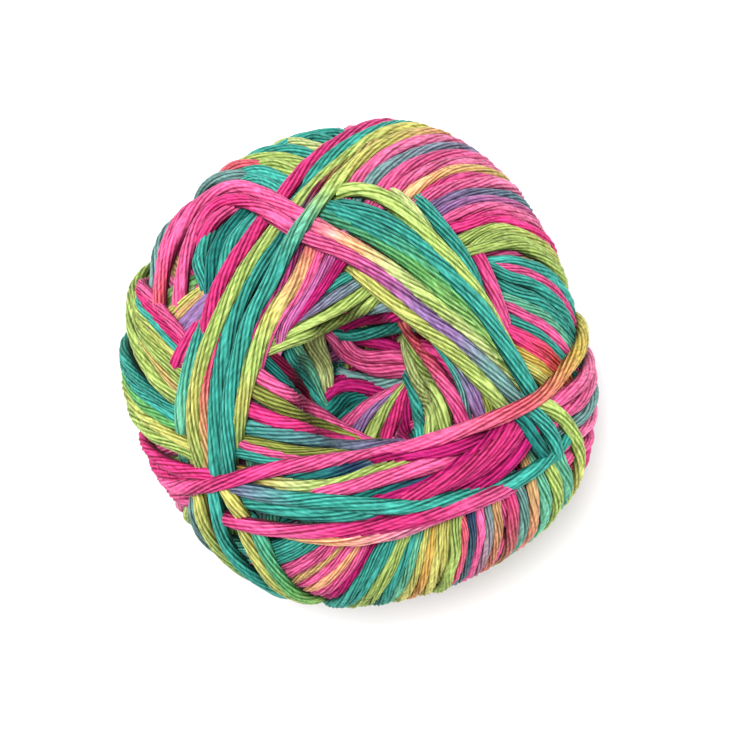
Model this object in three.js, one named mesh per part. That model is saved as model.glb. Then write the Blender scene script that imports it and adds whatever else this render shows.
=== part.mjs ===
// A ball of cotton blend yarn, machine wound around a hollow, lying with the hollow facing up.
// Millimetres, +Z up. It stands on a small flat spot, with its width centred on the origin.

import * as THREE from 'three';

// The ball's driving sizes
const EQUATOR_RADIUS = 39.4;
const EQUATOR_HEIGHT = 30;
const CREST_HEIGHT = 61;
const FLAT_RADIUS = 15;

// The hollow that the winder's spindle leaves, a little off the ball's axis
const CREST_RADIUS = 16;
const HOLLOW_RADIUS = 11.8;
const LIP_DROP = 6;
const FLOOR_HEIGHT = 38;
const HOLLOW_CENTRE = { x: 0.7, y: -3.4 };

// Steps of the mesh around the ball, and along each stretch of its section
const STEPS_AROUND = 108;
const FLAT_STEPS = 1;
const UNDERSIDE_STEPS = 14;
const SHOULDER_STEPS = 22;
const LIP_STEPS = 4;
const HOLLOW_STEPS = 8;

// How far the back of a lowest band stands out, and how much more each later layer does
const BAND_RISE = 1.5;
const LAYER_RISE = 0.8;

// The height over which the bands rise out of the flat spot. In the hollow they end at its lip.
const FADE_HEIGHT = 7.5;

// The ball isn't quite round. Each swell pushes its side out, or draws it in.
const SWELLS = [
  { towards: -30, push: 2.1, spread: 22 },
  { towards: 75, push: 1.9, spread: 24 },
  { towards: -105, push: 0.8, spread: 20 },
  { towards: 24, push: -2.0, spread: 24 },
  { towards: -150, push: -1.3, spread: 22 },
  { towards: 170, push: 0.5, spread: 30 },
];

// The main bands of turns. Each runs around the ball in a flat plane: heading and lift are the
// angles of the plane's normal, offset is its distance from the ball's centre, half is half of
// the band's width, and layer counts up from the bands that were wound first.
const BANDS = [
  { name: 'right_shoulder_low', heading: -20, lift: 56, offset: 31.0, half: 4.6, layer: 0 },
  { name: 'right_shoulder_high', heading: 30, lift: 46, offset: 33.5, half: 4.4, layer: 1 },
  { name: 'right_crown', heading: -22, lift: 42, offset: 14.0, half: 4.0, layer: 0 },
  { name: 'left_side_low', heading: -127, lift: -12, offset: 22.0, half: 4.6, layer: 0 },
  { name: 'left_side_high', heading: -150, lift: 12, offset: 27.0, half: 4.2, layer: 1 },
  { name: 'left_loops', heading: 136, lift: 44, offset: 33.5, half: 4.4, layer: 1 },
  { name: 'lower_left_edge', heading: -25, lift: 33, offset: -6.0, half: 4.0, layer: 0 },
  { name: 'foot_left', heading: -140, lift: 6, offset: 29.0, half: 4.2, layer: 1 },
  { name: 'foot_middle', heading: 0, lift: -15, offset: 4.5, half: 4.4, layer: 0 },
  { name: 'foot_right', heading: 5, lift: -8, offset: 18.0, half: 4.6, layer: 1 },
  { name: 'left_band_outer', heading: 153, lift: -29, offset: 9.0, half: 4.6, layer: 2 },
  { name: 'left_band_inner', heading: 161, lift: -32, offset: -1.5, half: 4.2, layer: 1 },
  { name: 'right_band_outer', heading: -138, lift: 50, offset: 10.5, half: 4.6, layer: 2 },
  { name: 'right_band_inner', heading: -132, lift: 27, offset: 1.5, half: 4.4, layer: 1 },
  { name: 'front_band_inner', heading: -96, lift: -19, offset: 1.0, half: 4.0, layer: 1 },
  { name: 'front_band_middle', heading: -75, lift: -9, offset: 9.5, half: 4.2, layer: 2 },
  { name: 'front_band_outer', heading: -82, lift: -32, offset: 12.0, half: 4.4, layer: 1 },
];

const BALL_CENTRE = new THREE.Vector3(0, 0, EQUATOR_HEIGHT);

// Points along a quarter of an ellipse between two corners of the section, its first left out
function quarterRound(from, to, steps, startsLevel) {
  return Array.from({ length: steps }, (_, index) => {
    const turn = ((index + 1) / steps) * (Math.PI / 2);
    const along = startsLevel ? Math.sin(turn) : 1 - Math.cos(turn);
    const up = startsLevel ? 1 - Math.cos(turn) : Math.sin(turn);
    return {
      radius: THREE.MathUtils.lerp(from.radius, to.radius, along),
      height: THREE.MathUtils.lerp(from.height, to.height, up),
    };
  });
}

// The ball's section, from the middle of the flat spot, over the shoulder, to the hollow's floor
function sectionPoints() {
  const flatEdge = { radius: FLAT_RADIUS, height: 0 };
  const equator = { radius: EQUATOR_RADIUS, height: EQUATOR_HEIGHT };
  const crest = { radius: CREST_RADIUS, height: CREST_HEIGHT };
  const lip = { radius: HOLLOW_RADIUS, height: CREST_HEIGHT - LIP_DROP };
  const floor = { radius: 0, height: FLOOR_HEIGHT };
  const flat = Array.from({ length: FLAT_STEPS }, (_, index) => ({
    radius: (FLAT_RADIUS * (index + 1)) / FLAT_STEPS,
    height: 0,
  }));
  const hollow = quarterRound(lip, floor, HOLLOW_STEPS, false);
  hollow.pop();
  return [
    ...flat,
    ...quarterRound(flatEdge, equator, UNDERSIDE_STEPS, true),
    ...quarterRound(equator, crest, SHOULDER_STEPS, false),
    ...quarterRound(crest, lip, LIP_STEPS, true),
    ...hollow,
  ];
}

// The push of all swells at an angle around the ball
function swellAt(angle) {
  return SWELLS.reduce((push, swell) => {
    const away = angle - THREE.MathUtils.degToRad(swell.towards);
    const nearest = Math.atan2(Math.sin(away), Math.cos(away));
    const spread = THREE.MathUtils.degToRad(swell.spread);
    return push + swell.push * Math.exp(-((nearest / spread) ** 2));
  }, 0);
}

// The direction square to a band's plane
function planeNormal({ heading, lift }) {
  const turn = THREE.MathUtils.degToRad(heading);
  const tip = THREE.MathUtils.degToRad(lift);
  return new THREE.Vector3(
    Math.cos(turn) * Math.cos(tip),
    Math.sin(turn) * Math.cos(tip),
    Math.sin(tip),
  );
}

const bandPlanes = BANDS.map((band) => ({ ...band, normal: planeNormal(band) }));

// How far the turns stand out at a point: the highest band that crosses there
function windingRise(point) {
  const fromCentre = point.clone().sub(BALL_CENTRE);
  return bandPlanes.reduce((rise, band) => {
    const across = (fromCentre.dot(band.normal) - band.offset) / band.half;
    if (Math.abs(across) >= 1) return rise;
    const crown = (1 + Math.cos(Math.PI * across)) / 2;
    return Math.max(rise, (BAND_RISE + LAYER_RISE * band.layer) * Math.sqrt(crown));
  }, 0);
}

// The outward direction of the section at a ring, in its own plane
function ringNormal(section, ring) {
  const before = section[Math.max(ring - 1, 0)];
  const after = section[Math.min(ring + 1, section.length - 1)];
  return new THREE.Vector2(after.height - before.height, before.radius - after.radius).normalize();
}

// One point of the wound surface
function woundPoint(section, ring, column) {
  const { radius, height } = section[ring];
  const angle = (2 * Math.PI * column) / STEPS_AROUND;
  const outward = new THREE.Vector3(Math.cos(angle), Math.sin(angle), 0);
  const share = Math.min(radius / EQUATOR_RADIUS, 1);
  const spread = radius * (1 + (swellAt(angle) * share) / EQUATOR_RADIUS);
  const lipHeight = CREST_HEIGHT - LIP_DROP;
  const inside = ring >= FLAT_STEPS + UNDERSIDE_STEPS + SHOULDER_STEPS;
  const shift = inside ? 1 : THREE.MathUtils.smoothstep(height, EQUATOR_HEIGHT, lipHeight);
  const point = outward.clone().multiplyScalar(spread);
  point.x += HOLLOW_CENTRE.x * shift;
  point.y += HOLLOW_CENTRE.y * shift;
  point.z = height;
  const normal = ringNormal(section, ring);
  const fade = inside
    ? THREE.MathUtils.smoothstep(height, lipHeight, CREST_HEIGHT)
    : THREE.MathUtils.smoothstep(height, 0, FADE_HEIGHT);
  const rise = windingRise(point) * fade;
  point.addScaledVector(outward, normal.x * rise);
  point.z += normal.y * rise;
  return point;
}

// Two triangles of a square of points, cut along its shorter diagonal so that they follow a band
function splitSquare(points, [first, second, third, fourth]) {
  const across = points[first].distanceTo(points[third]);
  const other = points[second].distanceTo(points[fourth]);
  return across < other
    ? [first, second, third, first, third, fourth]
    : [first, second, fourth, second, third, fourth];
}

// The closed wound surface: rings of points, capped at the flat spot and at the hollow's floor
function woundBall() {
  const section = sectionPoints();
  const points = section.flatMap((_, ring) =>
    Array.from({ length: STEPS_AROUND }, (_, column) => woundPoint(section, ring, column)),
  );
  const flatMiddle = points.length;
  points.push(new THREE.Vector3(0, 0, 0));
  const floorMiddle = points.length;
  points.push(new THREE.Vector3(HOLLOW_CENTRE.x, HOLLOW_CENTRE.y, FLOOR_HEIGHT));

  const faces = [];
  for (let column = 0; column < STEPS_AROUND; column += 1) {
    const next = (column + 1) % STEPS_AROUND;
    faces.push(flatMiddle, next, column);
    for (let ring = 0; ring < section.length - 1; ring += 1) {
      const low = ring * STEPS_AROUND;
      const high = low + STEPS_AROUND;
      faces.push(...splitSquare(points, [low + column, low + next, high + next, high + column]));
    }
    const last = (section.length - 1) * STEPS_AROUND;
    faces.push(floorMiddle, last + column, last + next);
  }

  const geometry = new THREE.BufferGeometry().setFromPoints(points);
  geometry.setIndex(faces);
  geometry.computeBoundingBox();
  const middle = geometry.boundingBox.getCenter(new THREE.Vector3());
  geometry.translate(-middle.x, -middle.y, 0);
  geometry.computeVertexNormals();
  return geometry;
}

const yarn = new THREE.MeshStandardMaterial({ color: 0xc98aa0, roughness: 0.95, metalness: 0 });
const ball = new THREE.Mesh(woundBall(), yarn);
ball.name = 'wound_ball';

const part = new THREE.Group();
part.add(ball);

export default part;
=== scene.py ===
"""A ball of variegated cotton blend yarn, wound turn by turn around the hollow of its winder.

Lengths are in millimetres until a mesh is made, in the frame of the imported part: +Z up along the
hollow, +Y towards the top of the photograph, which looks straight down the hollow.
"""

import math
from collections import namedtuple

import bpy
import numpy as np
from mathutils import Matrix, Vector
from mathutils.bvhtree import BVHTree
from mathutils.kdtree import KDTree


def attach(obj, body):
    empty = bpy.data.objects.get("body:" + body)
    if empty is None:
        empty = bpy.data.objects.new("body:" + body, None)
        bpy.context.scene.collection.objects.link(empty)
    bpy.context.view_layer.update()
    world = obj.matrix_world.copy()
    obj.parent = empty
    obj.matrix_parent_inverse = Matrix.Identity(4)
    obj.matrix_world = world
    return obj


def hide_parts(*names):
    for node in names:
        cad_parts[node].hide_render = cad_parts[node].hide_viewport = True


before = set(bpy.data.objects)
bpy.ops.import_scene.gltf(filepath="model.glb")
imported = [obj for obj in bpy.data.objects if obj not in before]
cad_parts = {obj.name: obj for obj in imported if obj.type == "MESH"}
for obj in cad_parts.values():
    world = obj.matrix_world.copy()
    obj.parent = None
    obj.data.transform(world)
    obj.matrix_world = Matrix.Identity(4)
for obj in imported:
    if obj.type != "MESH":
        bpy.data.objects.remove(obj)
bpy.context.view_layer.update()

MM = 0.001
NODE = "wound_ball"
SEED = 20

# The yarn: its radius, how it widens and flattens where it lies, how narrow it gets between close
# neighbours, and the steps along it. The turns below the ones in the photograph take wide steps.
YARN_RADIUS = 1.2
YARN_WIDENS = 1.06
YARN_FLATTENS = 0.96
NARROWEST = 0.66
FILLS_ROOM = 1.04
STEP = 1.6
WIDE_STEP = 2.2
ABOVE_FLOOR = 0.02

# Its plies: how many, with a crest and a groove each, how deep the grooves are, the length in
# which they twist round once, and how the twist, the thickness and the grooves vary
PLIES = 11
SIDES = 2 * PLIES
PLY_DEPTH = 0.08
PLY_TURN = 48.0
TWIST_VARIES = (0.85, 1.15)
ROLL_VARIES = 0.5
THICKNESS_VARIES = 0.075
GROOVE_VARIES = 1.2
GROOVE_LIMITS = (0.1, 1.8)

# The tones of its dyes: of a whole turn, of the plies' crests, of the grooves, which are painted darker
# and deeper in colour as shade in the creases between plies, and of the sides, which face a turn's
# neighbours and are painted darker as the shade between the turns
DYE_TONE = 0.88
TURN_TONES = (0.93, 1.07)
CREST_TONES = (0.85, 1.2)
GROOVE_SHADE_TONE = 0.50
GROOVE_SHADE_DEPTH = 1.8
SIDE_SHADE_TONE = 0.16
SIDE_SHADE_DEPTH = 1.4
SIDE_SHADE_HEIGHTS = (-0.6, 0.5)
FIBRE_SLANT = 0.3

# The middle line of the outermost turns, as a section of the ball
EQUATOR_RADIUS = 39.8
EQUATOR_HEIGHT = 30.0
CREST_HEIGHT = 60.8
CREST_RADIUS = 16.0
HOLLOW_RADIUS = 12.0
LIP_DROP = 6.0
FLOOR_HEIGHT = 38.0
FLAT_RADIUS = 15.0
HOLLOW_CENTRE = np.array([0.7, -3.0])
CENTRE = np.array([0, 0, EQUATOR_HEIGHT])

# The steps along each stretch of the section: flat, underside, shoulder, lip and hollow. The
# smallest ring is at both its ends, and a normal stays smooth this near to a surface's corner.
FLAT_STEPS = 8
UNDERSIDE_STEPS = 44
SHOULDER_STEPS = 60
LIP_STEPS = 12
HOLLOW_STEPS = 30
SMALLEST_RING = 0.01
CORNER_SOFTNESS = 0.05

# How closely two turns that touch lie, as a share of the yarn's diameter: where they cross, and
# where they run alongside each other, which is where the cosine between them is near 1
PRESS = 0.86
PRESS_ALONGSIDE = 0.66
ALONGSIDE = (0.8, 0.97)

# How the turns settle. In each round, two turns that are too close are moved apart by a share of
# what is missing, and LIFTS is the upper one's part in it. It rises no higher than HIGHEST, and
# less where the surface faces sideways. All turns are pulled straight, and towards their level
# until the last FREE_ROUNDS.
ROUNDS = 200
FREE_ROUNDS = 40
MOVES = 0.6
LIFTS = 0.60
HIGHEST = 2.6
HIGHEST_AT_SIDES = 0.4
FACING_UP = (0.3, 0.8)
TAUT = 0.2
PULL = 0.035

# The turns below lie deeper than the ones in the photograph on the ball's upper half, which
# begins between these heights above its widest line. Their rank puts them under all others. A
# point counts as shown up to SLACK past the stretch that the photograph shows.
HIDDEN_LEVEL = -2.6
UPPER_HALF = (-2, 12)
HIDDEN_RANK = 1000
SLACK = 0.1

# How deep the two ends of a turn dive, and over what length
TUCK = 4.0
TUCK_LENGTH = 7.0

# How far the core, coloured dark as painted shade for the gaps, lies below the outermost turns, and how
# far from the crest's height it goes from one depth to the other
CORE_DEPTH = 5.4
CORE_DEPTH_AT_CREST = 4.0
CORE_DEEPENS = (2, 12)

# The ball isn't quite round. Each swell pushes its side out, or draws it in.
Swell = namedtuple("Swell", "towards push spread")
SWELLS = [
    Swell(towards=-30, push=2.1, spread=22),
    Swell(towards=75, push=1.9, spread=24),
    Swell(towards=-105, push=0.8, spread=20),
    Swell(towards=24, push=-2.0, spread=24),
    Swell(towards=-150, push=-1.3, spread=22),
    Swell(towards=170, push=0.5, spread=30),
]

# The photograph: its size, the ball's middle in it, its scale at the ball's widest height, and
# how far the camera stands above that height, for a sensor of the usual width
PHOTO_SIZE = 730
PHOTO_MIDDLE = np.array([358.5, 364.5])
MM_PER_PIXEL = 0.1728
CAMERA_DISTANCE = 600.0
SENSOR_WIDTH = 36.0

# A pixel past the ball's outline is drawn towards the middle by these shares until it meets it
OUTLINE_SHARES = np.linspace(1, 0.6, 81)

# The dyes, in the order in which they follow each other along the yarn, each with its length
Dye = namedtuple("Dye", "name colour length")
DYES = [
    Dye("pink", (238, 110, 164), 34),
    Dye("rose", (226, 70, 140), 26),
    Dye("magenta", (196, 44, 124), 18),
    Dye("maroon", (130, 26, 66), 6),
    Dye("salmon", (234, 114, 128), 10),
    Dye("rust", (206, 92, 56), 6),
    Dye("orange", (236, 160, 110), 8),
    Dye("peach", (244, 186, 142), 8),
    Dye("tan", (216, 182, 126), 8),
    Dye("gold", (218, 190, 98), 12),
    Dye("yellow", (214, 210, 124), 12),
    Dye("olive", (160, 168, 86), 6),
    Dye("lime", (184, 206, 120), 24),
    Dye("pale_lime", (204, 216, 150), 14),
    Dye("green", (122, 192, 118), 12),
    Dye("mint", (122, 198, 166), 12),
    Dye("teal", (74, 172, 158), 36),
    Dye("deep_teal", (42, 130, 122), 12),
    Dye("navy", (50, 70, 108), 4),
    Dye("grey_teal", (128, 168, 164), 14),
    Dye("violet", (154, 122, 170), 14),
    Dye("orchid", (200, 112, 170), 12),
    # The pale pink is a dye of the run, and is also painted sheen: the right-hand turns fade to it at the
    # outline, paler where light grazes the ball's side
    Dye("pale_pink", (242, 156, 186), 10),
]

# How far a turn carries on past what the photograph shows: it tucks under its neighbours, ends in
# the hollow, or runs down the ball's side to the underside
UNDER = 8.0
TO_PIT = 2.0
DOWN = 74.0

# Where the photograph shows the surface at a flatter angle than this, near the outline, a turn
# carries on by itself, as its last points head. It counts as shown for a while, and bends down to
# the underside.
GRAZING = 0.28
SEEN_PAST = 17.0
BENDS_DOWN = 0.035
HEADING_POINTS = 4
LENGTH_VARIES = (0.9, 1.1)

# How far the turns of a band stray from their even spacing, and the points that each is drawn with
WANDER = 0.5
WANDER_SOFTENING = 30
DRAWN_POINTS = 60

# In the hollow and on the upper half, a turn is lifted more upright than the surface faces: from
# where the surface begins to face up, and from the crest inwards up to this share
LIFT_FACING = (0.25, 0.6)
LIFT_IN_HOLLOW = 0.85

# The turns that the photograph shows, from the deepest to the topmost. A row is a band of
# turns side by side, one for each dye or blend of dyes. It gives the pixels of the photograph
# that its first turn passes, and its last one, and how far they carry on before and after.
Band = namedtuple("Band", "piece dyes first last before after", defaults=[None, UNDER, UNDER])
BANDS = [
    Band("hollow_floor", "magenta", [(362, 338), (385, 344), (408, 354)]),
    Band("hollow_floor", "teal", [(328, 330), (345, 335), (374, 332), (404, 325)]),
    Band("hollow_floor", "grey_teal", [(344, 376), (380, 384), (406, 380)], before=TO_PIT),
    Band("hollow_floor", "magenta", [(318, 404), (340, 384), (365, 388), (392, 396)]),
    Band("hollow_floor", "deep_teal deep_teal",
         [(326, 417), (345, 398), (372, 398)], [(338, 424), (368, 402), (396, 396)]),
    Band("hollow_floor", "pink pink",
         [(328, 333), (343, 355), (372, 367), (410, 370)],
         [(342, 337), (355, 354), (378, 357), (408, 355)]),
    Band("hollow_floor", "pink violet lime rose magenta",
         [(332, 438), (362, 410), (400, 388)], [(402, 444), (410, 410), (418, 380)]),
    Band("hollow_left", "deep_teal maroon teal mint pale_lime pale_lime",
         [(264, 358), (285, 384), (306, 406)], [(316, 338), (328, 366), (326, 392)]),
    Band("hollow_right", "teal>teal>grey_teal teal>violet violet olive",
         [(429, 326), (444, 350), (459, 380), (467, 412)],
         [(462, 350), (476, 378), (487, 400), (492, 420)]),
    Band("hollow_right", "teal", [(406, 366), (414, 390), (420, 415), (420, 436)]),
    Band("hollow_right", "pale_lime>lime lime",
         [(401, 334), (410, 358), (421, 384), (431, 408), (436, 432)],
         [(410, 340), (425, 370), (440, 398), (446, 426)]),
    Band("hollow_right", "orange>salmon>salmon>pink>rose",
         [(391, 294), (401, 316), (414, 338), (428, 356), (444, 382), (456, 402), (464, 426)]),
    Band("hollow_left", "grey_teal", [(330, 324), (360, 311), (395, 303)]),
    Band("hollow_left", "magenta", [(336, 328), (368, 318), (402, 314)]),
    Band("hollow_left", "teal grey_teal>violet lime lime",
         [(358, 270), (318, 292), (278, 322)], [(388, 292), (340, 319), (272, 347)]),
    Band("left_loops", "pink", [(205, 282), (182, 335), (168, 372), (180, 396)]),
    Band("left_loops", "yellow tan violet violet",
         [(172, 312), (200, 293), (228, 278)], [(176, 344), (202, 314), (226, 284)]),
    Band("left_loops", "grey_teal pink",
         [(175, 227), (157, 253), (148, 294)], [(181, 218), (163, 249), (154, 295)]),
    Band("left_loops", "deep_teal teal deep_teal teal",
         [(272, 217), (248, 238), (238, 262), (228, 282)],
         [(240, 206), (212, 232), (200, 260), (206, 294)]),
    Band("left_loops", "pink>rose", [(242, 205), (222, 214), (208, 228), (200, 242)]),
    # Painted sheen: this band fades to pale pink towards the outline, where light grazes the ball's side
    Band("right_arcs", "pink>pale_pink tan",
         [(410, 127), (444, 137), (468, 148)], [(405, 135), (440, 143), (469, 156)], after=DOWN),
    Band("top_side", "teal teal pale_lime teal lime lime teal teal",
         [(285, 133), (320, 127), (358, 136)], [(222, 181), (252, 180), (286, 196)], before=DOWN),
    Band("top_side", "salmon grey_teal",
         [(214, 176), (238, 170), (262, 166)], [(206, 186), (226, 180), (250, 178)], before=DOWN),
    # Painted sheen: this band fades to pale pink towards the outline, where light grazes the ball's side
    Band("right_arcs",
         "pink>pale_pink grey_teal>violet pink>pink>pale_pink pink>pale_pink "
         "peach>yellow rose>pink>pale_pink",
         [(344, 200), (358, 178), (398, 150), (450, 143), (498, 163)],
         [(408, 212), (446, 183), (490, 180), (534, 203)], after=DOWN),
    # Painted sheen: this band fades to pale pink towards the outline, where light grazes the ball's side
    Band("right_fan", "pink>pale_pink violet>teal violet>pink pink>pale_pink rose>pink>pale_pink",
         [(412, 206), (455, 188), (496, 186), (540, 212)],
         [(452, 226), (490, 214), (530, 228), (566, 272)], after=DOWN),
    Band("right_low", "teal mint pink teal rose>rust rose>rust gold yellow",
         [(498, 286), (540, 305), (580, 345)], [(522, 362), (540, 378), (556, 396)], after=DOWN),
    Band("right_fan", "teal pink>rose teal",
         [(482, 260), (516, 262), (546, 275), (577, 314)],
         [(494, 272), (540, 289), (580, 330)], after=DOWN),
    Band("right_band", "rose>pink", [(478, 256), (487, 278), (497, 300), (503, 322)]),
    Band("right_fan", "rose lime>yellow lime lime",
         [(456, 232), (493, 220), (532, 235), (570, 280)],
         [(474, 251), (506, 244), (538, 256), (574, 304)], after=DOWN),
    Band("left_side", "pink rose teal lime>yellow olive>lime lime yellow>tan",
         [(134, 276), (156, 305), (194, 344)], [(143, 336), (160, 364), (181, 391)], before=DOWN),
    Band("left_side", "lime", [(133, 292), (138, 338), (158, 380), (180, 400)], before=DOWN),
    Band("left_low", "teal teal green lime>yellow lime",
         [(119, 316), (132, 368), (178, 412)], [(122, 398), (148, 428), (200, 456)], before=DOWN),
    Band("left_low", "pink tan",
         [(162, 486), (180, 498), (200, 506)], [(172, 482), (186, 488), (204, 494)], before=DOWN),
    Band("foot_left", "teal teal teal pink pink tan pink peach pink magenta",
         [(258, 546), (290, 542), (318, 528)], [(320, 606), (356, 572), (380, 536)], before=DOWN),
    Band("foot_left", "grey_teal", [(196, 499), (198, 516), (204, 533)], after=DOWN),
    Band("foot_left", "yellow>lime>green", [(200, 492), (209, 526), (246, 574)], after=DOWN),
    Band("foot_left", "yellow>lime teal>green>lime",
         [(240, 518), (246, 532), (256, 552), (292, 596)],
         [(250, 510), (258, 530), (272, 560), (308, 602)], after=DOWN),
    Band("foot_middle", "teal teal lime lime teal mint yellow orange>gold yellow yellow",
         [(336, 606), (370, 566), (388, 536)], [(437, 596), (446, 550), (450, 514)], before=DOWN),
    Band("right_low", "rose rose",
         [(592, 443), (582, 460), (556, 478)], [(586, 462), (576, 474), (556, 490)]),
    # Painted light: these turns start pale pink at the outline, paler on a side that the key light leaves
    # in shade
    Band("right_low", "pale_pink>pink pale_pink>pink grey_teal pale_pink>pink pink",
         [(592, 340), (580, 380), (546, 408)], [(598, 418), (583, 446), (556, 466)], before=DOWN),
    Band("foot_right", "lime salmon>pink navy>grey_teal pink grey_teal>pink tan>salmon pink",
         [(453, 508), (455, 542), (444, 584)], [(500, 488), (505, 522), (492, 568)], after=DOWN),
    Band("foot_right", "rose>olive grey_teal>mint tan>salmon mint lime mint",
         [(508, 486), (512, 522), (502, 560)], [(556, 450), (564, 488), (556, 520)], after=DOWN),
    Band("left_band", "rose", [(198, 328), (187, 345), (173, 370)]),
    Band("left_band", "mint>teal>mint",
         [(224, 288), (208, 320), (200, 340), (193, 360), (187, 380), (183, 400), (182, 428)]),
    Band("left_band", "maroon>rose>rose>rose>salmon>peach",
         [(228, 328), (216, 365), (210, 400), (210, 430), (216, 462)]),
    Band("left_band", "rose>rose>salmon>peach>tan",
         [(224, 322), (211, 360), (204, 392), (202, 420), (208, 462)]),
    Band("left_band", "teal", [(384, 131), (350, 146), (325, 163), (308, 180)], before=DOWN),
    Band("left_band", "pink>rose>rose",
         [(378, 126), (345, 141), (310, 165), (282, 197), (245, 247), (222, 282), (206, 330)],
         before=DOWN),
    Band("left_band", "peach>yellow>yellow>lime>lime>lime>lime>lime>yellow>lime",
         [(424, 127), (382, 136), (340, 165), (299, 203), (265, 243), (237, 285), (209, 345), (196, 390),
          (194, 428), (204, 474)], before=DOWN),
    Band("left_band", "tan>olive>maroon>deep_teal>teal>teal>teal>teal>teal",
         [(374, 146), (340, 172), (306, 208), (284, 240), (255, 275), (237, 310), (222, 360), (216, 412),
          (217, 482)]),
    Band("left_band", "orchid>magenta", [(322, 200), (300, 240), (280, 284), (252, 336), (243, 372)]),
    Band("left_band", "pink orchid magenta",
         [(336, 222), (319, 255), (303, 290), (276, 325), (256, 360)],
         [(364, 238), (340, 264), (320, 290), (292, 324)]),
    Band("hollow_rim", "pink olive rose",
         [(252, 372), (298, 401), (335, 426), (366, 442)],
         [(238, 404), (285, 424), (330, 438), (356, 446)]),
    Band("hollow_rim", "teal>violet", [(232, 424), (290, 436), (345, 447), (402, 446)]),
    Band("hollow_rim", "olive pink teal",
         [(230, 434), (290, 450), (340, 458)], [(232, 450), (262, 458), (298, 466)]),
    Band("left_band", "rose>salmon>salmon>peach>tan>yellow>lime>lime>yellow>lime",
         [(332, 212), (312, 248), (298, 280), (276, 310), (259, 345), (246, 388), (233, 448)]),
    Band("front_band", "navy>deep_teal>navy", [(278, 474), (330, 471), (372, 466)]),
    Band("front_band", "deep_teal>deep_teal>navy", [(335, 499), (380, 490), (420, 480), (442, 474)]),
    Band("front_band", "gold>pale_lime>lime>lime>olive",
         [(262, 479), (300, 486), (335, 484), (365, 476), (404, 465), (432, 456)]),
    Band("front_band", "pink", [(318, 493), (350, 488), (380, 479), (410, 471), (442, 462)]),
    Band("front_low", "tan>peach>pale_pink>pink",
         [(282, 531), (340, 538), (400, 530), (450, 510), (486, 498)]),
    Band("front_low", "magenta", [(348, 526), (410, 515), (454, 505)]),
    Band("front_band", "maroon>magenta>magenta", [(372, 460), (400, 457), (440, 451), (480, 441)]),
    Band("front_band", "magenta>rose", [(440, 487), (480, 468), (506, 446), (524, 424)]),
    Band("front_band", "magenta", [(378, 500), (425, 487), (458, 466), (498, 432), (510, 415)]),
    Band("front_band", "rose", [(398, 503), (448, 480), (484, 455), (511, 430), (522, 414)]),
    Band("front_band", "magenta", [(458, 495), (490, 478), (512, 459), (530, 437), (538, 424)]),
    Band("right_band", "yellow>lime",
         [(356, 270), (390, 300), (422, 325), (446, 345), (480, 380), (502, 406)]),
    Band("right_band", "pink>pink>pink>rose>rose>pink>pink>pink>orchid>violet>violet>grey_teal>grey_teal",
         [(179, 304), (184, 268), (192, 240), (205, 216), (220, 203), (238, 200), (264, 210), (302, 236),
          (340, 251), (380, 275), (435, 322), (475, 355), (524, 408)]),
    Band("right_band",
         "salmon>pink>pink>pink>pink>pink>pink>peach>pale_lime>lime>pale_lime>pale_lime>lime",
         [(160, 304), (165, 270), (175, 243), (192, 214), (212, 196), (236, 187), (264, 195), (304, 219),
          (345, 242), (385, 265), (412, 286), (480, 345), (544, 404)]),
    Band("right_band", "teal>green>lime",
         [(310, 208), (365, 233), (420, 272), (450, 302), (490, 342), (530, 390)]),
    Band("right_band", "teal>teal>green>lime",
         [(318, 204), (345, 214), (372, 228), (402, 246), (430, 268), (455, 290), (480, 320), (505, 355),
          (528, 388)]),
    Band("right_band", "teal", [(420, 202), (440, 226), (458, 250), (470, 272), (480, 298)]),
    Band("right_band", "pale_lime", [(394, 195), (406, 205), (420, 222), (430, 238)]),
    Band("right_band", "lime",
         [(326, 197), (343, 191), (366, 190), (387, 200), (413, 222), (441, 250), (468, 282), (487, 310),
          (500, 335), (510, 352)]),
    Band("right_band", "teal",
         [(348, 207), (375, 215), (402, 230), (424, 248), (452, 277), (480, 308), (500, 338), (516, 366),
          (530, 390)]),
    Band("left_low", "rose rose",
         [(120, 433), (148, 451), (182, 467), (218, 477)],
         [(122, 447), (150, 464), (175, 478), (210, 485)], before=DOWN),
    Band("top_turns", "teal", [(243, 501), (300, 512), (340, 515), (372, 511)]),
    Band("top_turns", "violet>teal>teal>teal>teal",
         [(228, 484), (268, 495), (340, 502), (400, 507), (448, 500), (490, 490), (522, 477), (546, 461),
          (572, 428)]),
    Band("right_band", "teal deep_teal",
         [(524, 400), (545, 424), (560, 456)], [(514, 406), (530, 432), (545, 458)]),
    Band("foot_left", "yellow", [(225, 486), (231, 498), (238, 508), (247, 523)]),
    Band("front_low", "rose>pink>rose>rose>pink",
         [(228, 519), (260, 527), (340, 530), (400, 522), (448, 510), (508, 488)]),
    Band("foot_left", "teal", [(214, 486), (217, 508), (226, 536), (246, 565), (276, 593)], after=DOWN),
    Band("top_turns", "lime>lime>yellow>lime",
         [(538, 402), (555, 411), (567, 426), (573, 442), (575, 462), (571, 486), (563, 505), (552, 518),
          (536, 528)], after=DOWN),
    Band("top_turns", "pink>pink>rose>pink>pink>salmon>gold>yellow",
         [(126, 440), (165, 480), (190, 486), (215, 484), (265, 470), (340, 460), (420, 445), (470, 427),
          (495, 418), (522, 407), (546, 392), (563, 369), (578, 345), (580, 320), (573, 294)],
         before=DOWN),
    Band("top_turns", "peach>peach>tan>yellow>yellow>lime>mint>teal>teal>teal>teal>teal",
         [(452, 139), (430, 135), (400, 140), (370, 154), (342, 178), (313, 212), (288, 248), (270, 285),
          (252, 315), (238, 360), (229, 410), (229, 470)]),
]

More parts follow.
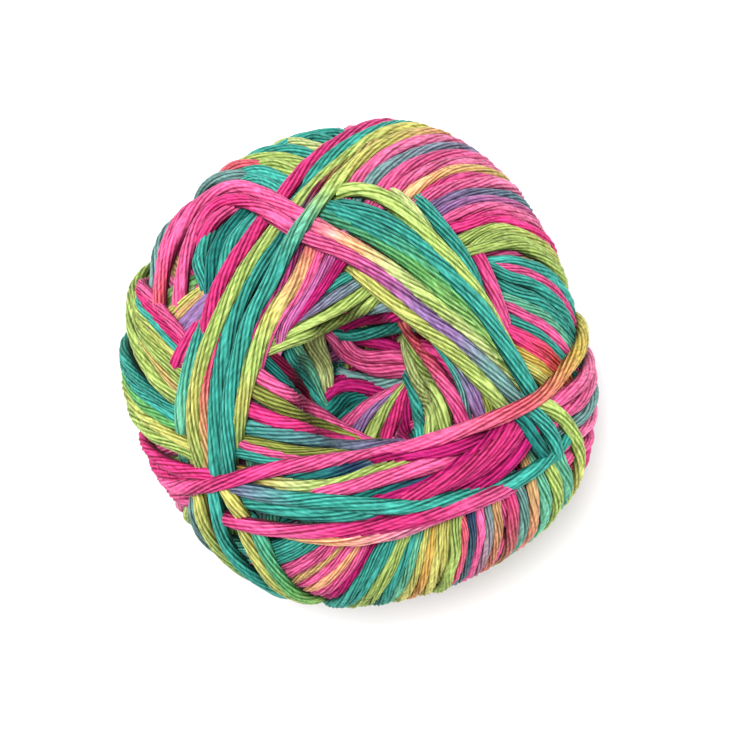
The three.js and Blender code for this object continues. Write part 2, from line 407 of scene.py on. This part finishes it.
# The turns below them, which show through the gaps, on the sides and on the underside. Each layer
# has three bands of turns that run right around the ball in flat planes: headings and lifts are
# the angles of the planes' normals, and offset is how far from the ball's centre a band begins.
Layer = namedtuple("Layer", "piece headings lifts offset turns")
LAYERS = [
    Layer("wound_first", headings=(10, 130, 250), lifts=(26, 27, 26), offset=-9.0, turns=8),
    Layer("wound_second", headings=(70, 190, 310), lifts=(33, 31, 34), offset=-4.0, turns=8),
    Layer("wound_third", headings=(40, 165, 285), lifts=(14, 12, 13), offset=-17.0, turns=7),
    Layer("wound_fourth", headings=(100, 220, 340), lifts=(3, 5, 4), offset=-20.0, turns=8),
]
TURN_SPACING = 2.35
LAYER_POINTS = 180

rng = np.random.default_rng(SEED)


def smoothstep(value, low, high):
    """How far a value has gone from low to high, as a share that starts and ends gently."""
    share = np.clip((value - low) / (high - low), 0, 1)
    return share * share * (3 - 2 * share)


def unit(vectors):
    return vectors / np.maximum(np.linalg.norm(vectors, axis=-1, keepdims=True), 1e-9)


# The ball's form

def quarter_round(start, end, steps, level_first):
    """Points along a quarter of an ellipse between two (radius, height) corners, without the first."""
    turn = np.linspace(0, math.pi / 2, steps + 1)[1:, None]
    along, up = (np.sin(turn), 1 - np.cos(turn)) if level_first else (1 - np.cos(turn), np.sin(turn))
    share = np.hstack([along, up])
    return np.array(start) + (np.array(end) - np.array(start)) * share


def section():
    """The ball's section from the middle of its underside, over its shoulder, to the hollow's floor."""
    foot = (FLAT_RADIUS, YARN_RADIUS * YARN_FLATTENS)
    equator = (EQUATOR_RADIUS, EQUATOR_HEIGHT)
    crest = (CREST_RADIUS, CREST_HEIGHT)
    lip = (HOLLOW_RADIUS, CREST_HEIGHT - LIP_DROP)
    floor = (SMALLEST_RING, FLOOR_HEIGHT)
    flat = np.linspace((SMALLEST_RING, foot[1]), foot, FLAT_STEPS + 1)
    underside = quarter_round(foot, equator, UNDERSIDE_STEPS, True)
    shoulder = quarter_round(equator, crest, SHOULDER_STEPS, False)
    inner_lip = quarter_round(crest, lip, LIP_STEPS, True)
    hollow = quarter_round(lip, floor, HOLLOW_STEPS, False)
    return np.vstack([flat, underside, shoulder]), np.vstack([inner_lip, hollow])


def swell_at(angle):
    """How far all swells together push the side out at some angles around the ball."""
    total = np.zeros_like(angle)
    for swell in SWELLS:
        away = angle - math.radians(swell.towards)
        nearest = np.arctan2(np.sin(away), np.cos(away))
        total += swell.push * np.exp(-((nearest / math.radians(swell.spread)) ** 2))
    return total


def ring_squares(rings, around):
    """The corners of the squares between rings of points, each ring numbered on from the last."""
    near = np.arange((rings - 1) * around).reshape(rings - 1, around)
    turned = np.roll(near, -1, axis=1)
    return np.stack([near, turned, turned + around, near + around], -1).reshape(-1, 4)


class Form:
    """A closed surface that turns are laid on: its points, their normals and ways to meet it."""

    AROUND = 240

    def __init__(self):
        outside, inside = section()
        profile = np.vstack([outside, inside])
        angle = np.linspace(0, 2 * math.pi, self.AROUND, endpoint=False)
        radius = profile[:, :1]
        height = np.repeat(profile[:, 1:], self.AROUND, axis=1)
        share = np.minimum(radius / EQUATOR_RADIUS, 1)
        spread = radius * (1 + swell_at(angle)[None, :] * share / EQUATOR_RADIUS)
        shift = smoothstep(height, EQUATOR_HEIGHT, CREST_HEIGHT - LIP_DROP)
        shift[len(outside):] = 1
        across = spread * np.cos(angle) + HOLLOW_CENTRE[0] * shift
        along = spread * np.sin(angle) + HOLLOW_CENTRE[1] * shift
        self.grid = np.stack([across, along, height], axis=-1)
        around = np.roll(self.grid, -1, axis=1) - np.roll(self.grid, 1, axis=1)
        upward = np.gradient(self.grid, axis=0)
        self.normals = unit(np.cross(around, upward)).reshape(-1, 3)
        self.points = self.grid.reshape(-1, 3)
        self.squares = ring_squares(len(profile), self.AROUND)
        self.tree = BVHTree.FromPolygons(self.points.tolist(), self.squares.tolist())

    def nearest(self, points):
        """The surface's nearest places to some points, and the normals there."""
        found = [self.tree.find_nearest(Vector(point)) for point in points]
        places = np.array([spot[0] for spot in found])
        corners = self.squares[[spot[2] for spot in found]]
        reach = np.linalg.norm(self.points[corners] - places[:, None], axis=-1)
        weight = 1 / (reach + CORNER_SOFTNESS)
        normals = (self.normals[corners] * weight[..., None]).sum(axis=1)
        return places, unit(normals)

    def seen_at(self, pixel):
        """The place that the photograph shows at a pixel, or the nearest on the ball's outline."""
        eye = camera_place()
        offset = np.array(pixel) - PHOTO_MIDDLE
        for shrink in OUTLINE_SHARES:
            aim = offset * shrink * MM_PER_PIXEL
            target = np.array([aim[0], -aim[1], EQUATOR_HEIGHT])
            hit = self.tree.ray_cast(Vector(eye), Vector(target - eye).normalized())
            if hit[0] is not None:
                return np.array(hit[0])
        raise ValueError(f"no place on the ball at {pixel}")

    def met_from_inside(self, start, directions):
        """Where rays from a point inside the form leave it."""
        return np.array([self.tree.ray_cast(Vector(start), Vector(way))[0] for way in directions])


def camera_place():
    """Where the camera stands: straight above the middle of the photograph."""
    aside = (PHOTO_SIZE / 2 - PHOTO_MIDDLE) * MM_PER_PIXEL
    return np.array([aside[0], -aside[1], EQUATOR_HEIGHT + CAMERA_DISTANCE])


# Paths

def distances(path):
    """How far along a path each of its points lies."""
    steps = np.linalg.norm(np.diff(path, axis=0), axis=1)
    return np.concatenate([[0], np.cumsum(steps)])


def between(knots, rows, at):
    """Points or colours at some places between those that are given at knots."""
    return np.stack([np.interp(at, knots, rows[:, part]) for part in range(3)], axis=-1)


def curve_through(points, samples):
    """Samples at equal distances along a smooth curve through some points."""
    points = np.array(points, dtype=float)
    knots = distances(points)
    slopes = np.gradient(points, knots, axis=0)
    at = np.linspace(0, knots[-1], samples)
    piece = np.clip(np.searchsorted(knots, at, side="right") - 1, 0, len(points) - 2)
    span = (knots[piece + 1] - knots[piece])[:, None]
    share = (at - knots[piece])[:, None] / span
    start, end = points[piece], points[piece + 1]
    lean, land = slopes[piece] * span, slopes[piece + 1] * span
    return (
        start * (2 * share**3 - 3 * share**2 + 1)
        + lean * (share**3 - 2 * share**2 + share)
        + end * (3 * share**2 - 2 * share**3)
        + land * (share**3 - share**2)
    )


def evenly_spaced(points, step):
    """The same path with samples a step apart."""
    along = distances(points)
    count = max(int(round(along[-1] / step)) + 1, 3)
    return between(along, points, np.linspace(0, along[-1], count))


def softened(values, passes):
    """The same values, each drawn towards its neighbours, with both ends kept."""
    for _ in range(passes):
        inner = (values[:-2] + 2 * values[1:-1] + values[2:]) / 4
        values = np.concatenate([values[:1], inner, values[-1:]])
    return values


def varying(middle, spread, shape, passes):
    """Random values that change slowly along a turn."""
    return softened(rng.normal(middle, spread, shape), passes)


def carried_on(form, path, length):
    """More of a taut path past its last point: it keeps its heading on the form's surface."""
    place = path[-1]
    heading = unit(path[-1] - path[-min(HEADING_POINTS, len(path))])
    bend = BENDS_DOWN if length > DOWN / 2 else 0
    more = []
    for _ in range(int(length / STEP)):
        heading = unit(heading - np.array([0, 0, bend]))
        spot = form.nearest([place + heading * STEP])[0][0]
        heading = unit(spot - place)
        place = spot
        more.append(spot)
    return np.array(more).reshape(-1, 3)


# Turns of yarn

class Turn:
    """One stretch of yarn: its path on the form and its dyes. Its widths come from narrow(), and
    its heights above the form from settle()."""

    def __init__(self, form, piece, path, shown, blend):
        self.piece = piece
        self.base, normals = form.nearest(path)
        self.normals = unit(softened(normals, passes=2))
        from_hollow = np.linalg.norm(self.base[:, :2] - HOLLOW_CENTRE, axis=1)
        inward = LIFT_IN_HOLLOW * (1 - smoothstep(from_hollow, HOLLOW_RADIUS, CREST_RADIUS))
        facing_up = smoothstep(self.normals[:, 2], *LIFT_FACING) * (shown[1] > shown[0])
        upright = np.maximum(inward, facing_up)
        upright = (upright * (self.base[:, 2] > EQUATOR_HEIGHT))[:, None]
        self.lifts = unit(self.normals * (1 - upright) + np.array([0, 0, 1]) * upright)
        self.shown = shown
        self.blend = blend

    def line(self):
        """The turn's middle line, where it has settled."""
        return self.base + self.lifts * self.heights[:, None]


def band_turns(form, band):
    """The turns of a band that the photograph shows."""
    dyes = band.dyes.split()
    first = curve_through(band.first, DRAWN_POINTS)
    last = curve_through(band.last or band.first, DRAWN_POINTS)
    turns = []
    for index, dye in enumerate(dyes):
        share = index / max(len(dyes) - 1, 1)
        strays = varying(0, WANDER, (DRAWN_POINTS, 3), WANDER_SOFTENING) if band.last else 0
        pixels = first * (1 - share) + last * share
        drawn = softened(np.array([form.seen_at(pixel) for pixel in pixels]) + strays, passes=2)
        upward = form.nearest(drawn)[1][:, 2]
        inward = np.linalg.norm(drawn[:, :2] - HOLLOW_CENTRE, axis=1) < CREST_RADIUS
        facing = np.flatnonzero((upward >= min(GRAZING, np.median(upward))) | inward)
        lost_before, lost_after = facing[0] > 0, facing[-1] < len(drawn) - 1
        drawn = evenly_spaced(curve_through(drawn[facing[0]:facing[-1] + 1], 2 * DRAWN_POINTS), STEP)
        length_after = (band.after + SEEN_PAST * lost_after) * rng.uniform(*LENGTH_VARIES)
        length_before = (band.before + SEEN_PAST * lost_before) * rng.uniform(*LENGTH_VARIES)
        after = carried_on(form, drawn, length_after)
        before = carried_on(form, drawn[::-1], length_before)[::-1]
        path = np.vstack([before, drawn, after])
        start = len(before) * STEP - SEEN_PAST * lost_before
        shown = (start, (len(before) + len(drawn) - 1) * STEP + SEEN_PAST * lost_after)
        turns.append(Turn(form, band.piece, path, shown, dye.split(">")))
    return turns


def layer_turns(form, layer, heading, lift):
    """Turns that run right around the ball side by side. Their ends lie on top, under the others."""
    heading, lift = math.radians(heading), math.radians(lift)
    level_part = math.cos(lift)
    normal = np.array([math.cos(heading) * level_part, math.sin(heading) * level_part, math.sin(lift)])
    level = unit(np.array([-normal[1], normal[0], 0]))
    steep = np.cross(normal, level)
    around = np.linspace(0, 2 * math.pi, LAYER_POINTS)[:, None]
    ways = steep * np.cos(around) + level * np.sin(around)
    turns = []
    for index in range(layer.turns):
        offset = layer.offset + TURN_SPACING * index
        path = evenly_spaced(form.met_from_inside(CENTRE + normal * offset, ways), WIDE_STEP)
        middle = (len(path) - 1) * WIDE_STEP / 2
        dye = DYES[rng.integers(len(DYES))].name
        turns.append(Turn(form, layer.piece, path, (middle, middle), [dye]))
    return turns


def ranks(bands, hidden):
    """For each point of the turns, what it lies on top of: whatever has a lower rank."""
    found = []
    for index, band in enumerate(bands):
        for turn in band:
            along = distances(turn.base)
            start, end = turn.shown
            seen = (along >= start - SLACK) & (along <= end + SLACK)
            below = index - HIDDEN_RANK if hidden else index - len(bands)
            found.append(np.where(seen & (not hidden), index, below))
    return found


def tree_of(points):
    tree = KDTree(len(points))
    for index, place in enumerate(points):
        tree.insert(place, index)
    tree.balance()
    return tree


def crossings(base, lifts, headings, rank, band):
    """Pairs of points where one turn lies on another: the upper, the lower, and their least gap."""
    tree = tree_of(base)
    apart = 2 * YARN_RADIUS * PRESS
    upper, lower = [], []
    for index, place in enumerate(base):
        near = [spot[1] for spot in tree.find_range(place, apart)]
        below = [other for other in near if rank[other] < rank[index] and band[other] != band[index]]
        upper.extend([index] * len(below))
        lower.extend(below)
    upper, lower = np.array(upper), np.array(lower)
    alike = np.abs((headings[upper] * headings[lower]).sum(axis=1))
    apart = 2 * YARN_RADIUS * (PRESS + (PRESS_ALONGSIDE - PRESS) * smoothstep(alike, *ALONGSIDE))
    gap = base[lower] - base[upper]
    up = (gap * lifts[upper]).sum(axis=1)
    aside = (gap**2).sum(axis=1) - up**2
    touching = aside < apart**2
    least = np.sqrt(np.maximum(apart**2 - aside, 0)) + up
    return upper[touching], lower[touching], least[touching]


def by_turn(values, turns):
    """The values of all turns' points, as one array for each turn."""
    return np.split(values, np.cumsum([len(turn.base) for turn in turns])[:-1])


def narrow(turns, owner, base, band):
    """Narrows turns of a band where they lie closer side by side than they are wide."""
    reach = 2 * YARN_RADIUS * YARN_WIDENS
    tree = tree_of(base)
    room = np.full(len(base), reach)
    for index, place in enumerate(base):
        for _, other, gap in tree.find_range(place, reach):
            if band[other] == band[index] and owner[other] != owner[index]:
                room[index] = min(room[index], gap)
    for turn, own_room in zip(turns, by_turn(room, turns)):
        turn.widths = softened(np.clip(own_room / reach * FILLS_ROOM, NARROWEST, 1), passes=3)


def settle(hidden, shown):
    """Finds the heights at which all turns lie on each other, pulled taut, the outermost level."""
    bands = hidden + shown
    turns = [turn for band in bands for turn in band]
    base = np.vstack([turn.base for turn in turns])
    lifts = np.vstack([turn.lifts for turn in turns])
    headings = np.vstack([unit(np.gradient(turn.base, axis=0)) for turn in turns])
    owner = np.repeat(np.arange(len(turns)), [len(turn.base) for turn in turns])
    band = np.repeat(np.arange(len(bands)), [sum(len(turn.base) for turn in each) for each in bands])
    rank = np.concatenate(ranks(hidden, True) + ranks(shown, False))
    narrow(turns, owner, base, band)
    upper, lower, least = crossings(base, lifts, headings, rank, band)
    on_top = smoothstep(base[:, 2] - EQUATOR_HEIGHT, *UPPER_HALF)
    level = np.where(rank < -len(shown), HIDDEN_LEVEL * on_top, 0.0)
    height = level.copy()
    inner = np.flatnonzero((owner[1:-1] == owner[:-2]) & (owner[1:-1] == owner[2:])) + 1
    facing = smoothstep(np.vstack([turn.normals for turn in turns])[:, 2], *FACING_UP)
    highest = HIGHEST_AT_SIDES + (HIGHEST - HIGHEST_AT_SIDES) * facing
    free = rank[upper] >= -len(shown)
    buried = rank[lower] < -len(shown)
    for settled in range(ROUNDS):
        push = np.maximum(least - (height[upper] - height[lower]), 0)
        share = LIFTS * np.clip(1 - height[upper] / highest[upper], 0, 1)
        share = np.where(free & buried, 0, share)
        rise, sink = np.zeros(len(base)), np.zeros(len(base))
        np.maximum.at(rise, upper, push * share)
        np.maximum.at(sink, lower, push * (1 - share))
        height += MOVES * (rise - sink)
        height[inner] += TAUT * (height[inner - 1] + height[inner + 1] - 2 * height[inner])
        if settled < ROUNDS - FREE_ROUNDS:
            height += PULL * (level - height)
    for turn, settled_height in zip(turns, by_turn(height, turns)):
        along = distances(turn.base)
        to_end = np.minimum(along, along[-1] - along)
        turn.heights = settled_height - TUCK * (1 - smoothstep(to_end, 0, TUCK_LENGTH))
    return turns


# Dyes

def linear(colour):
    """A screen colour, 0 to 255, as linear light."""
    share = np.array(colour) / 255
    return np.where(share <= 0.04045, share / 12.92, ((share + 0.055) / 1.055) ** 2.4)


DYE_NAMES = [dye.name for dye in DYES]
DYE_LIGHT = np.array([linear(dye.colour) for dye in DYES])
DYE_STARTS = np.concatenate([[0], np.cumsum([dye.length for dye in DYES])])


def run_colour(places):
    """The colour at some places along the yarn's dye run, which repeats."""
    repeat = DYE_STARTS[-1]
    middles = (DYE_STARTS[:-1] + DYE_STARTS[1:]) / 2
    knots = np.concatenate([middles - repeat, middles, middles + repeat])
    return between(knots, np.tile(DYE_LIGHT, (3, 1)), np.mod(places, repeat))


def dye_middle(name):
    """The middle of a dye's stretch of the run."""
    index = DYE_NAMES.index(name)
    return (DYE_STARTS[index] + DYE_STARTS[index + 1]) / 2


def turn_colours(turn, along):
    """The dye at each point of a turn: its blend where it shows, and the dye run past that."""
    start, end = turn.shown
    stops = np.array([DYE_LIGHT[DYE_NAMES.index(name)] for name in turn.blend])
    share = np.clip((along - start) / max(end - start, 1e-6), 0, 1) * (len(stops) - 1)
    blend = between(np.arange(len(stops)), stops, share)
    before = run_colour(dye_middle(turn.blend[0]) - (start - along))
    after = run_colour(dye_middle(turn.blend[-1]) + (along - end))
    colours = np.where((along < start)[:, None], before, blend)
    return np.where((along > end)[:, None], after, colours)


# Meshes

def frames(line, normals):
    """The directions out of and across a line of yarn at each of its points."""
    along = unit(np.gradient(line, axis=0))
    out = unit(normals - along * (normals * along).sum(axis=1, keepdims=True))
    return out, np.cross(along, out)


def tube(turn):
    """The points, colours and lengths of one turn: a loose bundle of plies that twist slowly."""
    line = softened(turn.line(), passes=2)
    along = distances(line)
    out, across = frames(line, turn.normals)
    side = np.arange(SIDES)
    on_crest = side % 2 == 0
    start, twist = rng.uniform(0, 2 * math.pi), rng.uniform(*TWIST_VARIES)
    roll = varying(0, ROLL_VARIES, len(line), passes=12)
    angle = 2 * math.pi * twist * along / PLY_TURN + start + roll
    angle = angle[:, None] + 2 * math.pi * side[None, :] / SIDES
    thickness = varying(1, THICKNESS_VARIES, len(line), passes=4)
    depth = varying(1, GROOVE_VARIES, (len(line), PLIES), passes=3)
    depth = depth.clip(*GROOVE_LIMITS).repeat(2, axis=1)
    radius = YARN_RADIUS * thickness[:, None] * (1 + PLY_DEPTH * np.where(on_crest, 1, -1) * depth)
    points = (
        line[:, None]
        + (radius * np.cos(angle) * YARN_WIDENS * turn.widths[:, None])[..., None] * across[:, None]
        + (radius * np.sin(angle) * YARN_FLATTENS)[..., None] * out[:, None]
    )
    points[..., 2] = np.maximum(points[..., 2], ABOVE_FLOOR)
    depth = depth[..., None]
    crest_tones = rng.uniform(*CREST_TONES, PLIES).repeat(2)[None, :, None]
    dyes = turn_colours(turn, along)[:, None] * rng.uniform(*TURN_TONES) * DYE_TONE
    # Painted shade: the grooves between the plies are darker and deeper in colour, the more so where they
    # are deeper
    groove_shade = dyes ** (1 + (GROOVE_SHADE_DEPTH - 1) * depth) * GROOVE_SHADE_TONE**depth
    colours = np.where(on_crest[None, :, None], dyes * crest_tones, groove_shade)
    # Painted shade: the sides and underside of the turn, which face its neighbours and the turns below,
    # are darker and deeper in colour
    facing = smoothstep(np.sin(angle), *SIDE_SHADE_HEIGHTS)[..., None]
    colours = colours ** (SIDE_SHADE_DEPTH + (1 - SIDE_SHADE_DEPTH) * facing) * (SIDE_SHADE_TONE + (1 - SIDE_SHADE_TONE) * facing)
    return points, np.clip(colours, 0, 1), along


# The strips in which a piece's turns lie on its UV map for baking, side by side in rows: how much
# longer than its turn each is, the share of a row left free at both edges, and how far apart
# along the yarn the fibres of two rows begin
STRIP_SPACING = 1.02
STRIP_MARGIN = 0.04
ROWS_APART = 40


def shelf(lengths):
    """Rows that hold strips of those lengths, the longest one filling a row: (row, start) each."""
    widest = max(lengths)
    rows = []
    places = [None] * len(lengths)
    for index in sorted(range(len(lengths)), key=lambda item: -lengths[item]):
        for row, used in enumerate(rows):
            if used + lengths[index] <= widest:
                places[index] = (row, used)
                rows[row] = used + lengths[index]
                break
        else:
            places[index] = (len(rows), 0.0)
            rows.append(lengths[index])
    return places, widest, len(rows)


def strip_places(along, row, start, widest, rows):
    """Where the corners of a tube's squares lie in its strip of the UV map for baking and on the yarn."""
    shape = (len(along) - 1, SIDES)
    near = np.broadcast_to(along[:-1, None], shape)
    far = np.broadcast_to(along[1:, None], shape)
    low = np.broadcast_to(np.arange(SIDES) / SIDES, shape)
    high = low + 1 / SIDES
    lengths = np.stack([near, near, far, far], -1)
    rounds = np.stack([low, high, high, low], -1)
    across_strip = STRIP_MARGIN + (1 - 2 * STRIP_MARGIN) * rounds
    bake = np.stack([(lengths + start) / widest, (row + across_strip) / rows], -1)
    girth = 2 * math.pi * YARN_RADIUS
    yarn = np.stack([lengths + ROWS_APART * row, rounds * girth + FIBRE_SLANT * lengths], -1)
    return bake, yarn


def end_triangles(rings):
    """The corners of the triangles that close a tube's two ends, each around a tip of its own."""
    first_rim = np.arange(SIDES)
    last_rim = (rings - 1) * SIDES + first_rim[::-1]
    tips = (rings * SIDES, rings * SIDES + 1)
    return np.vstack([
        np.stack([np.roll(rim, -1), rim, np.full(SIDES, tip)], -1)
        for rim, tip in zip((first_rim, last_rim), tips)
    ])


def yarn_mesh(name, points, colours, squares, triangles, places):
    """A smooth mesh with a dye at each point. Its UV places go by the squares, then the triangles."""
    corners = np.concatenate([squares.ravel(), triangles.ravel()])
    starts = np.concatenate([np.arange(len(squares)) * 4, squares.size + np.arange(len(triangles)) * 3])
    mesh = bpy.data.meshes.new(name)
    mesh.vertices.add(len(points))
    mesh.vertices.foreach_set("co", (points * MM).ravel())
    mesh.loops.add(len(corners))
    mesh.loops.foreach_set("vertex_index", corners.astype(np.int32))
    mesh.polygons.add(len(starts))
    mesh.polygons.foreach_set("loop_start", starts.astype(np.int32))
    mesh.polygons.foreach_set("use_smooth", np.ones(len(starts), dtype=bool))
    mesh.update(calc_edges=True)
    for layer, coordinates in places.items():
        mesh.uv_layers.new(name=layer).data.foreach_set("uv", coordinates.ravel())
    dye = mesh.color_attributes.new("dye", "FLOAT_COLOR", "POINT")
    dye.data.foreach_set("color", np.hstack([colours, np.ones((len(points), 1))]).ravel())
    return mesh


def yarn_piece(name, turns, material):
    """One piece of the scene: the turns that lie in it, each a tube with two closed ends."""
    tubes = [tube(turn) for turn in turns]
    strips, widest, rows = shelf([along[-1] * STRIP_SPACING for _, _, along in tubes])
    points, colours, squares, triangles = [], [], [], []
    bake, yarn, end_bake, end_yarn = [], [], [], []
    used = 0
    for (tube_points, tube_colours, along), (row, start) in zip(tubes, strips):
        rings = len(along)
        squares.append(used + ring_squares(rings, SIDES))
        triangles.append(used + end_triangles(rings))
        points.extend([tube_points.reshape(-1, 3), tube_points[[0, -1]].mean(axis=1)])
        colours.extend([tube_colours.reshape(-1, 3), tube_colours[[0, -1]].mean(axis=1)])
        on_bake, on_yarn = strip_places(along, row, start, widest, rows)
        bake.append(on_bake.reshape(-1, 2))
        yarn.append(on_yarn.reshape(-1, 2))
        end_bake.append(on_bake[[0, -1], :, 0].reshape(-1, 2).repeat(3, axis=0))
        end_yarn.append(np.zeros((2 * SIDES * 3, 2)))
        used += rings * SIDES + 2
    places = {"OFBake": np.vstack(bake + end_bake), "yarn": np.vstack(yarn + end_yarn)}
    lists = (points, colours, squares, triangles)
    place_piece(name, yarn_mesh(name, *(np.vstack(part) for part in lists), places), material)


def add_object(name, data):
    added = bpy.data.objects.new(name, data)
    bpy.context.scene.collection.objects.link(added)
    return added


def place_piece(name, mesh, material):
    """Adds a mesh to the scene as yarn that rides with the ball and takes the solid's place."""
    mesh.materials.append(material)
    piece = add_object(name, mesh)
    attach(piece, "root")
    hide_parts(NODE)


def core_piece(form, material):
    """The inner turns, coloured dark as painted shade, seen only at the bottom of the gaps."""
    from_crest = np.abs(form.points[:, 2] - CREST_HEIGHT)
    deepening = smoothstep(from_crest, *CORE_DEEPENS)
    depth = CORE_DEPTH_AT_CREST + (CORE_DEPTH - CORE_DEPTH_AT_CREST) * deepening
    points = form.points - form.normals * depth[:, None]
    points = points.reshape(form.grid.shape)[::2, ::2]
    faces = ring_squares(*points.shape[:2])
    mesh = bpy.data.meshes.new("inner_turns")
    mesh.from_pydata((points.reshape(-1, 3) * MM).tolist(), [], faces.tolist())
    mesh.shade_smooth()
    place_piece("inner_turns", mesh, material)


# Materials

# The yarn's fibres and tufts, drawn by noise on its own UV map: how they are stretched along it,
# the tones that they give its dye, and how far the fibres stand out, in metres
FIBRE_SCALE = (0.55, 2.4, 1.0)
FIBRE_TONES = (0.52, 1.36)
FIBRE_RELIEF = 0.00018
TUFT_SCALE = (0.12, 0.6, 1.0)
TUFT_TONES = (0.93, 1.06)
NOISE_RANGE = (0.3, 0.7)

# The inner turns, in two dark tones that mottle each other: painted shade at the bottom of the gaps
CORE_SHADE_DARK = (44, 16, 34)
CORE_SHADE_PALE = (96, 34, 66)
CORE_MOTTLE = 90.0


def new_material(name):
    material = bpy.data.materials.new(name)
    material.use_nodes = True
    nodes = material.node_tree.nodes
    return material, nodes, material.node_tree.links, nodes["Principled BSDF"]


def fill_in(node, values):
    for name, value in values.items():
        node.inputs[name].default_value = value


def noise(nodes, links, vector, scale, detail):
    node = nodes.new("ShaderNodeTexNoise")
    fill_in(node, {"Scale": scale, "Detail": detail})
    links.new(vector, node.inputs["Vector"])
    return node.outputs["Fac"]


def stretched(nodes, links, vector, scale):
    node = nodes.new("ShaderNodeMapping")
    fill_in(node, {"Scale": scale})
    links.new(vector, node.inputs["Vector"])
    return node.outputs["Vector"]


def toned(nodes, links, colour, value, tones):
    """A colour made darker or paler by a noise, from the first tone to the second."""
    factor = nodes.new("ShaderNodeMapRange")
    fill_in(factor, dict(zip(("From Min", "From Max", "To Min", "To Max"), NOISE_RANGE + tones)))
    links.new(value, factor.inputs["Value"])
    scaled = nodes.new("ShaderNodeVectorMath")
    scaled.operation = "SCALE"
    links.new(colour, scaled.inputs[0])
    links.new(factor.outputs["Result"], scaled.inputs["Scale"])
    return scaled.outputs["Vector"]


def yarn_material():
    """Dyed yarn: fine fibres along the plies, a little uneven in colour, soft and matt."""
    material, nodes, links, shader = new_material("dyed_yarn")
    dye = nodes.new("ShaderNodeAttribute")
    dye.attribute_name = "dye"
    uv = nodes.new("ShaderNodeUVMap")
    uv.uv_map = "yarn"
    along_fibres = stretched(nodes, links, uv.outputs["UV"], FIBRE_SCALE)
    fibres = noise(nodes, links, along_fibres, scale=1.0, detail=3.0)
    along_tufts = stretched(nodes, links, uv.outputs["UV"], TUFT_SCALE)
    tufts = noise(nodes, links, along_tufts, scale=1.0, detail=2.0)
    colour = toned(nodes, links, dye.outputs["Color"], fibres, FIBRE_TONES)
    colour = toned(nodes, links, colour, tufts, TUFT_TONES)
    links.new(colour, shader.inputs["Base Color"])
    bump = nodes.new("ShaderNodeBump")
    fill_in(bump, {"Strength": 0.55, "Distance": FIBRE_RELIEF})
    links.new(fibres, bump.inputs["Height"])
    links.new(bump.outputs["Normal"], shader.inputs["Normal"])
    fill_in(shader, {"Roughness": 0.82, "Specular IOR Level": 0.05})
    fill_in(shader, {"Sheen Weight": 0.03, "Sheen Roughness": 0.35})
    return material


def core_shade_material():
    """The yarn deep inside the ball, painted dark as the shade at the bottom of the gaps."""
    material, nodes, links, shader = new_material("inner_yarn_painted_shade")
    place = nodes.new("ShaderNodeTexCoord")
    mottle = noise(nodes, links, place.outputs["Object"], scale=CORE_MOTTLE, detail=3.0)
    ramp = nodes.new("ShaderNodeValToRGB")
    ramp.color_ramp.elements[0].color = (*linear(CORE_SHADE_DARK), 1)
    ramp.color_ramp.elements[1].color = (*linear(CORE_SHADE_PALE), 1)
    links.new(mottle, ramp.inputs["Fac"])
    links.new(ramp.outputs["Color"], shader.inputs["Base Color"])
    fill_in(shader, {"Roughness": 0.9})
    return material


# Stage

# The soft lights, in metres and watts, all aimed at the middle of the ball
Light = namedtuple("Light", "name place size power")
LIGHTS = [
    Light("key", place=(-0.10, 0.13, 0.88), size=0.4, power=10.0),
    Light("fill_left", place=(-0.68, 0.02, 0.26), size=0.5, power=3.2),
    Light("fill_right", place=(0.52, -0.42, 0.26), size=0.5, power=3.2),
    Light("fill_back", place=(0.30, 0.60, 0.26), size=0.5, power=2.2),
]
LIGHTS_AIM = (0, 0, 0.03)
WORLD_LIGHT = 0.28
FLOOR_REACH = 3.0
FLOOR_TONE = 0.9


def add_light(name, place, size, power):
    light = bpy.data.lights.new(name, "AREA")
    light.shape = "DISK"
    light.size = size
    light.energy = power
    lamp = add_object(name, light)
    lamp.location = place
    lamp.rotation_euler = (Vector(LIGHTS_AIM) - Vector(place)).to_track_quat("-Z", "Y").to_euler()


def add_floor():
    near, far = -FLOOR_REACH, FLOOR_REACH
    mesh = bpy.data.meshes.new("floor")
    mesh.from_pydata([(near, near, 0), (far, near, 0), (far, far, 0), (near, far, 0)], [], [(0, 1, 2, 3)])
    material, _, _, shader = new_material("pale_floor")
    fill_in(shader, {"Base Color": (FLOOR_TONE, FLOOR_TONE, FLOOR_TONE, 1), "Roughness": 0.9})
    mesh.materials.append(material)
    floor = add_object("floor", mesh)


def add_world():
    world = bpy.data.worlds.new("studio")
    world.use_nodes = True
    background = world.node_tree.nodes["Background"]
    fill_in(background, {"Color": (1, 1, 1, 1), "Strength": WORLD_LIGHT})
    bpy.context.scene.world = world


def add_camera():
    """The photograph's camera, which looks straight down."""
    camera = bpy.data.cameras.new("camera")
    camera.sensor_width = SENSOR_WIDTH
    camera.lens = SENSOR_WIDTH * CAMERA_DISTANCE / (PHOTO_SIZE * MM_PER_PIXEL)
    eye = add_object("camera", camera)
    eye.location = camera_place() * MM
    bpy.context.scene.camera = eye


def build_stage():
    add_floor()
    add_world()
    for light in LIGHTS:
        add_light(*light)
    bpy.context.scene.view_settings.view_transform = "Standard"
    add_camera()


def build_ball():
    form = Form()
    hidden = [
        layer_turns(form, layer, heading, lift)
        for layer in LAYERS
        for heading, lift in zip(layer.headings, layer.lifts)
    ]
    shown = [band_turns(form, band) for band in BANDS]
    turns = settle(hidden, shown)
    dyed = yarn_material()
    for name in dict.fromkeys(turn.piece for turn in turns):
        yarn_piece(name, [turn for turn in turns if turn.piece == name], dyed)
    core_piece(form, core_shade_material())


build_stage()
build_ball()
